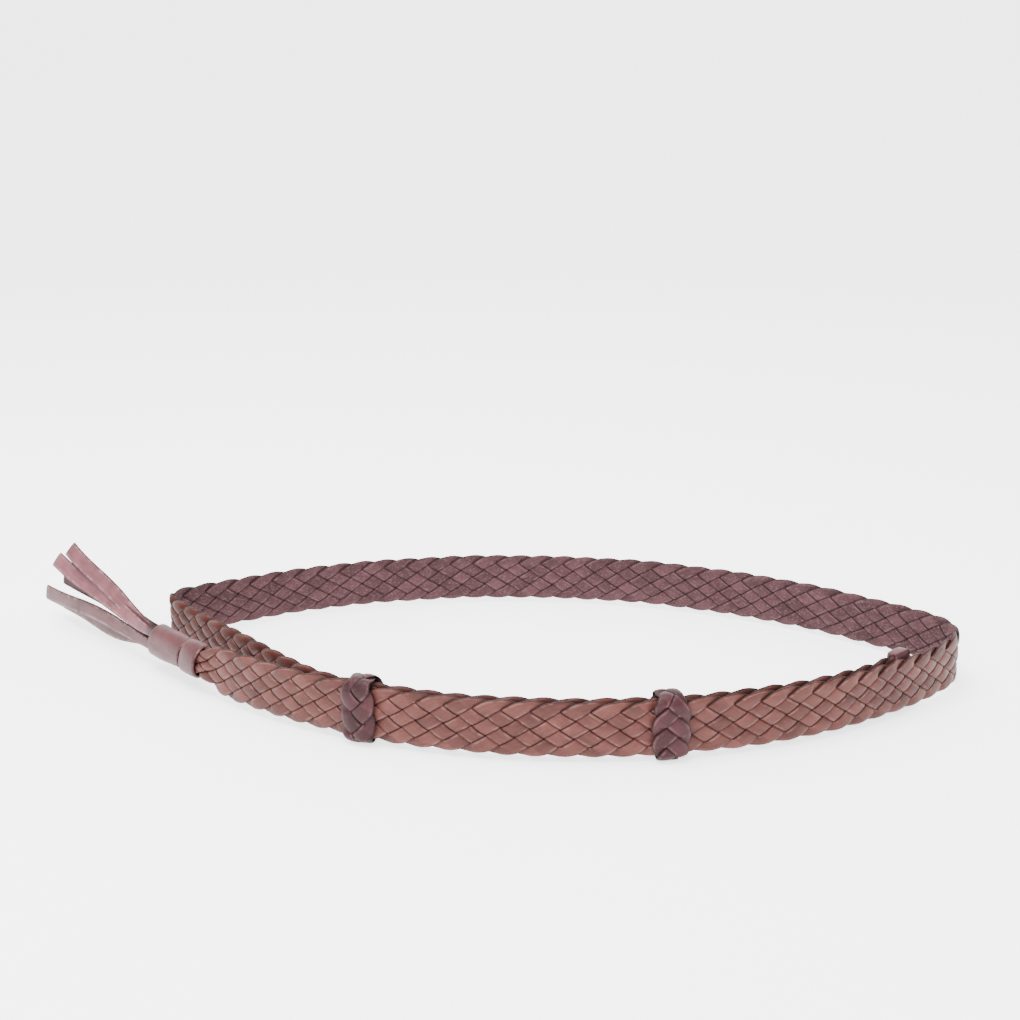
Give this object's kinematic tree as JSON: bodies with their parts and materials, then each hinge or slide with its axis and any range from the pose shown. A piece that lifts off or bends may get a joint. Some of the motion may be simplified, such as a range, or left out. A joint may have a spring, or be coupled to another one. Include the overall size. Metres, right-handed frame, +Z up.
{
  "type": "braided leather belt",
  "caption": "Braided leather belt without a buckle, closed in a waist loop by plaited sliding knots, with a bound end and a leather tassel.",
  "frame": {"origin": "middle of the outer box, on the surface that the belt lies on", "axes": "+X along the waist loop's long side, towards the fold away from the tassel; +Y from the knots' side to the back of the loop; +Z up, across the strap's width"},
  "size_m": [0.4762, 0.212, 0.047],
  "materials": {
    "braid_leather": "smooth, low sheen",
    "knot_leather": "smooth, low sheen",
    "wrap_leather": "smooth, satin",
    "tassel_leather": "smooth, satin"
  },
  "bodies": {
    "strap": {"strand_1": "braid_leather", "strand_2": "braid_leather", "strand_3": "braid_leather", "strand_4": "braid_leather", "strand_5": "braid_leather", "strand_6": "braid_leather", "narrow_wrap": "wrap_leather", "wide_wrap": "wrap_leather", "inner_end_wrap": "wrap_leather"},
    "left_knot": {"left_knot": "knot_leather"},
    "right_knot": {"right_knot": "knot_leather"},
    "tassel_strip_1": {"tassel_strip_1": "tassel_leather"},
    "tassel_strip_2": {"tassel_strip_2": "tassel_leather"},
    "tassel_strip_3": {"tassel_strip_3": "tassel_leather"},
    "tassel_strip_4": {"tassel_strip_4": "tassel_leather"},
    "tassel_strip_5": {"tassel_strip_5": "tassel_leather"},
    "tassel_strip_6": {"tassel_strip_6": "tassel_leather"}
  },
  "joints": [
    {"name": "left_knot_slide", "type": "hinge", "parent": "strap", "child": "left_knot", "pos_m": [0.05102, 0.14528, 0], "axis": [0, 0, 1], "range_deg": [-1, 13]},
    {"name": "right_knot_slide", "type": "hinge", "parent": "strap", "child": "right_knot", "pos_m": [0.05102, 0.14528, 0], "axis": [0, 0, 1], "range_deg": [-12, 14]},
    {"name": "tassel_strip_1_bend", "type": "hinge", "parent": "strap", "child": "tassel_strip_1", "pos_m": [-0.1604, 0.00779, 0.0187], "axis": [0.7254, 0.6884, 0], "range_deg": [-12, 12], "stiffness_Nm_per_rad": 0.02, "springref_deg": 1.01},
    {"name": "tassel_strip_2_bend", "type": "hinge", "parent": "strap", "child": "tassel_strip_2", "pos_m": [-0.16178, 0.00648, 0.0187], "axis": [0.7254, 0.6884, 0], "range_deg": [-7, 12], "stiffness_Nm_per_rad": 0.02, "springref_deg": 1.24},
    {"name": "tassel_strip_3_bend", "type": "hinge", "parent": "strap", "child": "tassel_strip_3", "pos_m": [-0.15902, 0.0091, 0.0187], "axis": [0.7254, 0.6884, 0], "range_deg": [-1, 14], "stiffness_Nm_per_rad": 0.02, "springref_deg": 1.46},
    {"name": "tassel_strip_4_bend", "type": "hinge", "parent": "strap", "child": "tassel_strip_4", "pos_m": [-0.16178, 0.00648, 0.0113], "axis": [0.7254, 0.6884, 0], "range_deg": [-3, 1.5], "stiffness_Nm_per_rad": 0.02, "springref_deg": 1.69},
    {"name": "tassel_strip_5_bend", "type": "hinge", "parent": "strap", "child": "tassel_strip_5", "pos_m": [-0.1604, 0.00779, 0.0113], "axis": [0.7254, 0.6884, 0], "range_deg": [-2, 4], "stiffness_Nm_per_rad": 0.02, "springref_deg": 1.35},
    {"name": "tassel_strip_6_bend", "type": "hinge", "parent": "strap", "child": "tassel_strip_6", "pos_m": [-0.15902, 0.0091, 0.0113], "axis": [0.7254, 0.6884, 0], "range_deg": [-1.5, 1.2], "stiffness_Nm_per_rad": 0.02, "springref_deg": 1.27}
  ]
}
